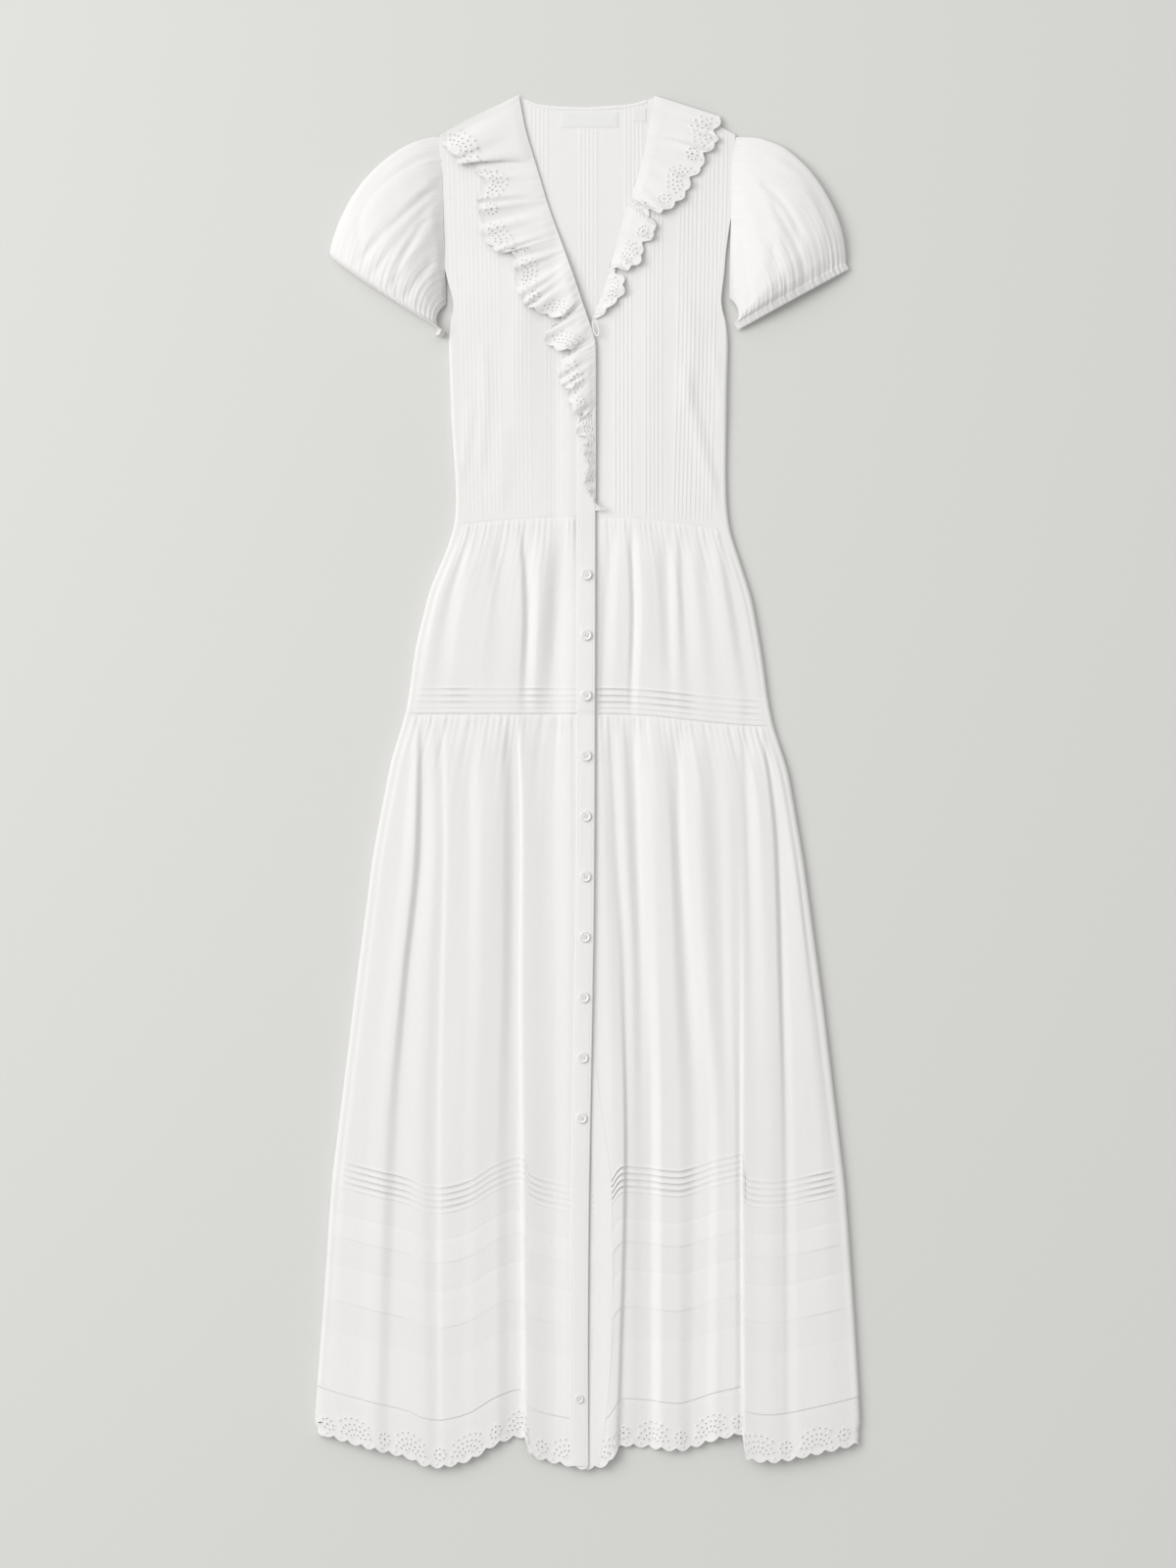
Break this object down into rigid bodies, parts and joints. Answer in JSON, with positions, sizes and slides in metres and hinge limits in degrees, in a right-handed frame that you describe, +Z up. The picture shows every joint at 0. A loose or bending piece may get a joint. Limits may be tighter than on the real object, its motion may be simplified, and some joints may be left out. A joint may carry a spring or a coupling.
{
  "type": "midi dress",
  "caption": "Long tiered white cotton dress laid flat, with puff sleeves, a V neck with a scalloped ruffle, pintucks, a button front and a scalloped eyelet hem.",
  "frame": {"origin": "bottom centre of the dress as it lies, on the surface", "axes": "+Y from hem to neck, +X to the viewer's right, +Z up from the surface through the front"},
  "size_m": [0.531, 1.3304, 0.0247],
  "materials": {
    "cotton_voile": "matt, fine plain weave, slightly sheer",
    "doubled_cotton": "matt, two or three layers, denser",
    "broderie": "matt cotton with satin-stitched eyelets",
    "label": "smooth woven satin tape, bare",
    "button": "pearly, polished"
  },
  "bodies": {
    "root": {"bodice_front_left": "cotton_voile", "sleeve_left": "cotton_voile", "upper_tier_left": "cotton_voile", "lower_tier_left": "cotton_voile", "cuff_left": "doubled_cotton", "neck_ruffle_left": "broderie", "hem_border_left": "broderie", "bodice_front_right": "cotton_voile", "sleeve_right": "cotton_voile", "upper_tier_right": "cotton_voile", "lower_tier_right": "cotton_voile", "cuff_right": "doubled_cotton", "neck_ruffle_right": "broderie", "hem_border_right": "broderie", "bodice_back": "cotton_voile", "upper_tier_back": "cotton_voile", "lower_tier_back": "cotton_voile", "hem_border_back": "broderie", "button_placket": "doubled_cotton", "under_placket": "doubled_cotton", "neck_binding": "doubled_cotton", "neck_loop": "doubled_cotton", "neck_label": "label", "care_label": "label", "button_01": "button", "button_02": "button", "button_03": "button", "button_04": "button", "button_05": "button", "button_06": "button", "button_07": "button", "button_08": "button", "button_09": "button", "button_10": "button", "hem_button": "button"}
  },
  "joints": []
}
